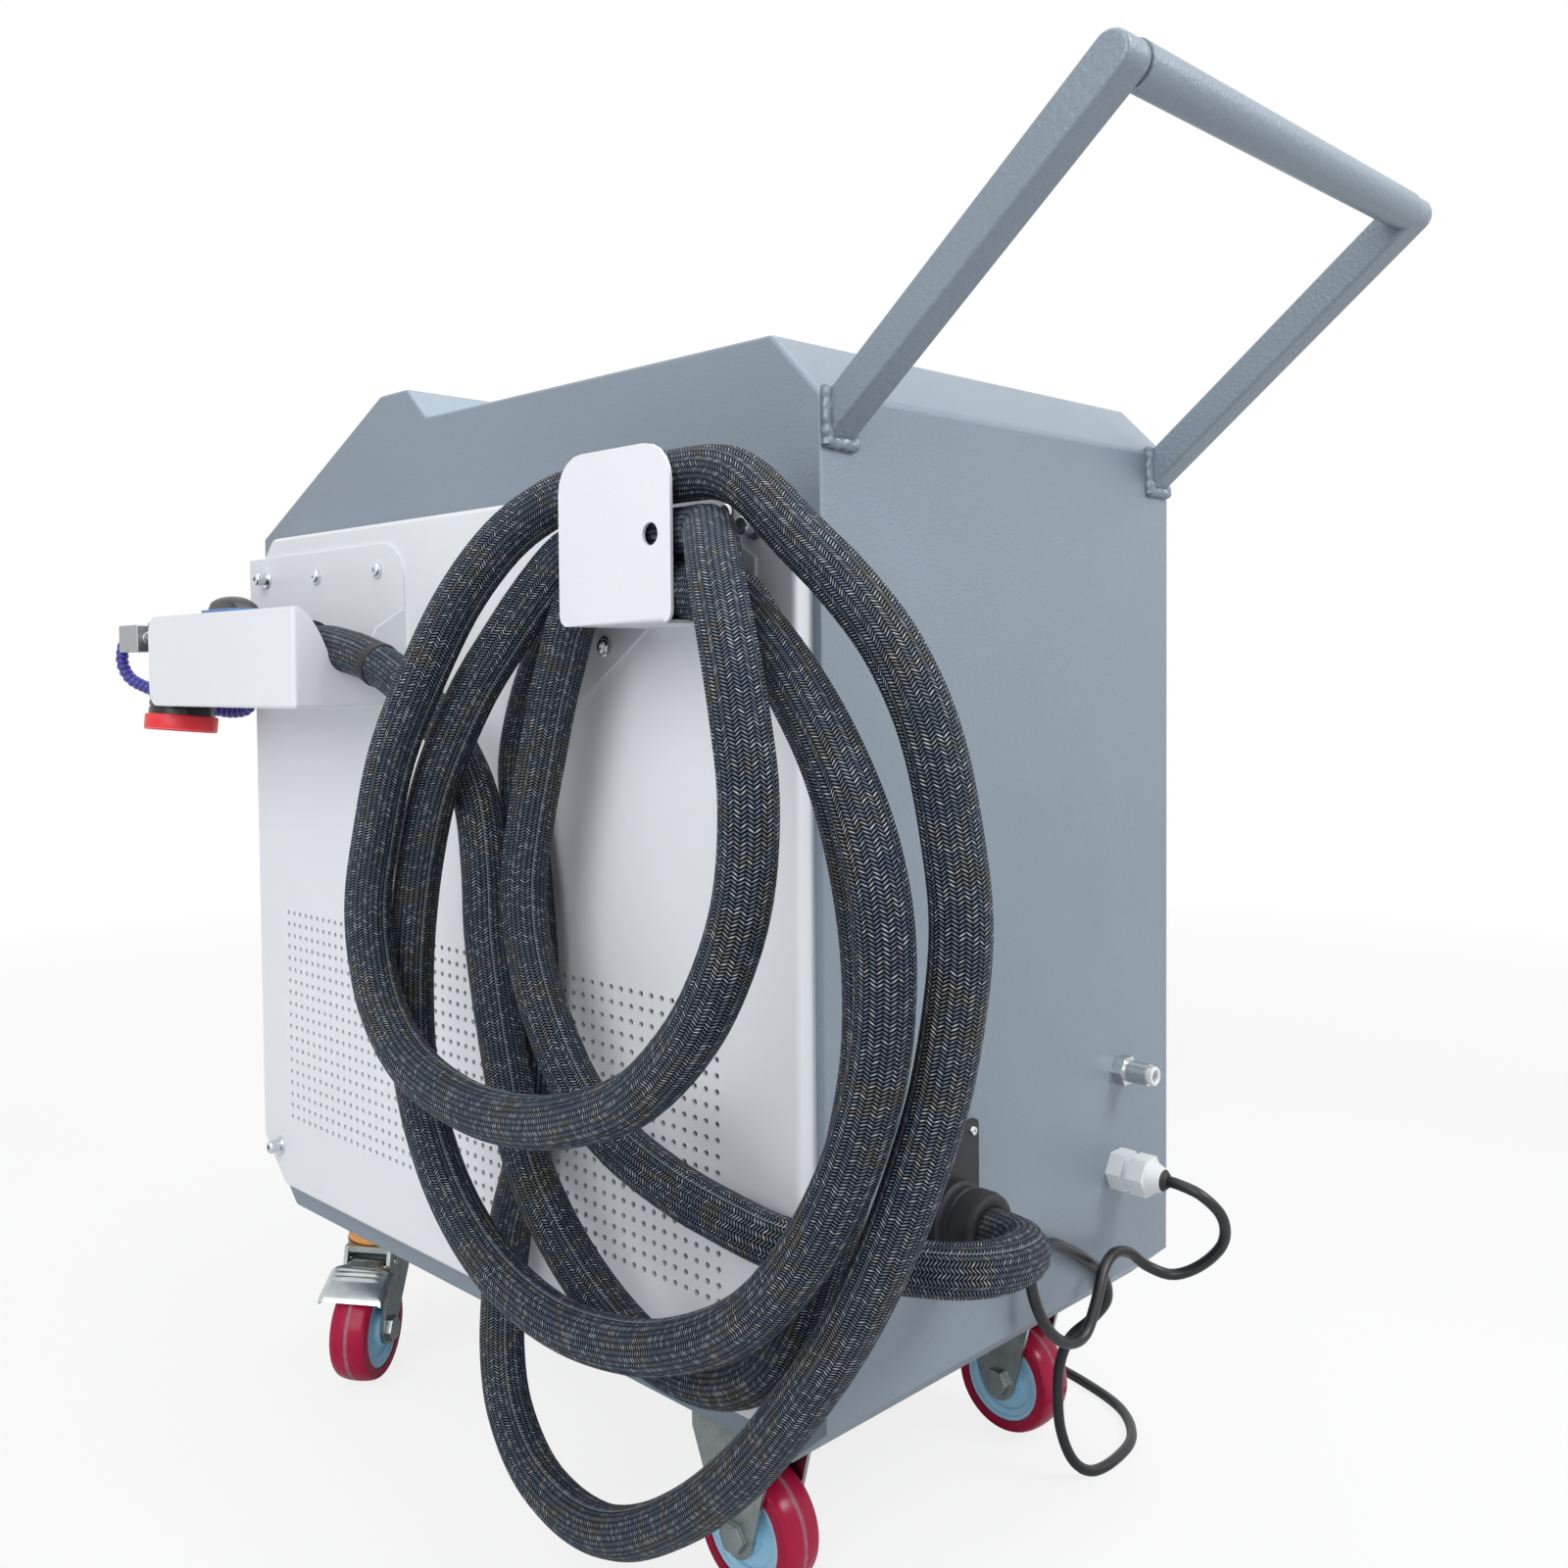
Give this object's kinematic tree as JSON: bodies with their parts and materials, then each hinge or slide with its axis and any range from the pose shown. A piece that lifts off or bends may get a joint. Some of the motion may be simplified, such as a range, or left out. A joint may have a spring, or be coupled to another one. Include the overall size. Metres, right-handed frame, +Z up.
{
  "type": "laser cleaning machine",
  "caption": "Wheeled cabinet with push handle, perforated side panels, braided hose hung on a hook, hand-held laser cleaning gun in a tray and power cable.",
  "frame": {"origin": "on the floor under the middle of the cabinet's depth and width", "axes": "+Z up, +Y toward the rear wall and the push handle, +X toward the side that carries the hose and the gun tray"},
  "size_m": [0.6945, 1.0387, 0.9182],
  "materials": {
    "powder_grey": "satin orange-peel powder coat",
    "weld_grey": "painted over weld beads",
    "powder_white": "smooth satin powder coat",
    "black_metal": "satin",
    "zinc": "zinc plated",
    "bright_steel": "bright",
    "grey_aluminium": "anodised",
    "screen_glass": "dark glass",
    "dark_plastic": "matte",
    "yellow_plastic": "gloss",
    "red_plastic": "gloss",
    "green_lens": "clear gloss",
    "board_green": "solder mask",
    "white_plastic": "smooth",
    "black_braid": "braided sleeve",
    "black_cable": "smooth jacket",
    "blue_line": "spiral wrap",
    "orange_seal": "moulded",
    "red_tyre": "polyurethane",
    "blue_hub": "moulded"
  },
  "bodies": {
    "cabinet": {"cabinet_shell": "powder_grey", "base_plate": "zinc", "hose_side_panel": "powder_white", "far_side_panel": "powder_white", "panel_screws": "bright_steel", "screen_bezel": "dark_plastic", "screen_glass": "screen_glass", "estop_collar": "yellow_plastic", "key_switch_body": "dark_plastic", "power_lamp": "green_lens", "handle_arm_hose_side": "powder_grey", "handle_arm_far_side": "powder_grey", "handle_bar": "powder_grey", "handle_welds": "weld_grey", "hose_hook": "powder_white", "gun_tray": "powder_white", "bracket_screws": "bright_steel", "hose_exit_plate": "black_metal", "hose_exit_boot": "dark_plastic", "laser_hose": "black_braid", "air_fitting_body": "bright_steel", "gland_body": "white_plastic", "gland_nut": "white_plastic", "power_cable": "black_cable", "power_cable_coil": "black_cable", "power_plug": "dark_plastic", "gun_housing": "dark_plastic", "gun_lens_tube": "dark_plastic", "gun_lens_cap": "red_plastic", "gun_knob": "dark_plastic", "gun_air_connector": "grey_aluminium", "gun_air_tube": "blue_line", "laser_source": "grey_aluminium", "power_supply": "grey_aluminium", "control_board": "board_green", "fan_frame": "dark_plastic", "caster_plates": "zinc", "caster_bolts": "bright_steel", "rear_forks": "zinc", "rear_axles": "bright_steel", "swivel_seals": "orange_seal"},
    "stop_button": {"estop_button": "red_plastic"},
    "key_turn": {"key": "bright_steel"},
    "release_ring": {"air_release_ring": "white_plastic"},
    "trigger": {"gun_trigger": "dark_plastic"},
    "fan": {"fan_rotor": "dark_plastic"},
    "swivel_hose_side": {"front_fork_hose_side": "zinc", "front_axle_hose_side": "bright_steel"},
    "swivel_far_side": {"front_fork_far_side": "zinc", "front_axle_far_side": "bright_steel"},
    "pedal_hose_side": {"brake_pedal_hose_side": "zinc"},
    "pedal_far_side": {"brake_pedal_far_side": "zinc"},
    "wheel_front_hose_side": {"tyre_front_hose_side": "red_tyre", "hub_front_hose_side": "blue_hub"},
    "wheel_front_far_side": {"tyre_front_far_side": "red_tyre", "hub_front_far_side": "blue_hub"},
    "wheel_rear_hose_side": {"tyre_rear_hose_side": "red_tyre", "hub_rear_hose_side": "blue_hub"},
    "wheel_rear_far_side": {"tyre_rear_far_side": "red_tyre", "hub_rear_far_side": "blue_hub"}
  },
  "joints": [
    {"name": "stop_button_press", "type": "slide", "parent": "cabinet", "child": "stop_button", "axis": [0, 0.4445, -0.8958], "range_m": [0, 0.004], "stiffness_N_per_m": 1500},
    {"name": "key_turn", "type": "hinge", "parent": "cabinet", "child": "key_turn", "pos_m": [0.11, -0.24671, 0.77855], "axis": [0, -0.4445, 0.8958], "range_deg": [0, 90]},
    {"name": "release_ring_push", "type": "slide", "parent": "cabinet", "child": "release_ring", "axis": [0, -1, 0], "range_m": [0, 0.0015], "stiffness_N_per_m": 600},
    {"name": "trigger_pull", "type": "hinge", "parent": "cabinet", "child": "trigger", "pos_m": [0.262, -0.188, 0.617], "axis": [-1, 0, 0], "range_deg": [0, 12], "stiffness_Nm_per_rad": 0.6},
    {"name": "fan_spin", "type": "hinge", "parent": "cabinet", "child": "fan", "pos_m": [-0.17, 0, 0.3126], "axis": [1, 0, 0], "continuous": true},
    {"name": "swivel_hose_side", "type": "hinge", "parent": "cabinet", "child": "swivel_hose_side", "pos_m": [0.146, -0.238, 0.108], "axis": [0, 0, 1], "continuous": true},
    {"name": "wheel_front_hose_side_spin", "type": "hinge", "parent": "swivel_hose_side", "child": "wheel_front_hose_side", "pos_m": [0.17713, -0.2162, 0.0435], "axis": [-0.5736, 0.8192, 0], "continuous": true},
    {"name": "pedal_hose_side_tilt", "type": "hinge", "parent": "swivel_hose_side", "child": "pedal_hose_side", "pos_m": [0.16566, -0.22423, 0.097], "axis": [0.5736, -0.8192, 0], "range_deg": [-3, 17]},
    {"name": "swivel_far_side", "type": "hinge", "parent": "cabinet", "child": "swivel_far_side", "pos_m": [-0.146, -0.238, 0.108], "axis": [0, 0, 1], "continuous": true},
    {"name": "wheel_front_far_side_spin", "type": "hinge", "parent": "swivel_far_side", "child": "wheel_front_far_side", "pos_m": [-0.17891, -0.219, 0.0435], "axis": [-0.5, -0.866, 0], "continuous": true},
    {"name": "pedal_far_side_tilt", "type": "hinge", "parent": "swivel_far_side", "child": "pedal_far_side", "pos_m": [-0.16678, -0.226, 0.097], "axis": [0.5, 0.866, 0], "range_deg": [-3, 17]},
    {"name": "wheel_rear_hose_side_spin", "type": "hinge", "parent": "cabinet", "child": "wheel_rear_hose_side", "pos_m": [0.146, 0.231, 0.0435], "axis": [1, 0, 0], "continuous": true},
    {"name": "wheel_rear_far_side_spin", "type": "hinge", "parent": "cabinet", "child": "wheel_rear_far_side", "pos_m": [-0.146, 0.231, 0.0435], "axis": [1, 0, 0], "continuous": true}
  ]
}
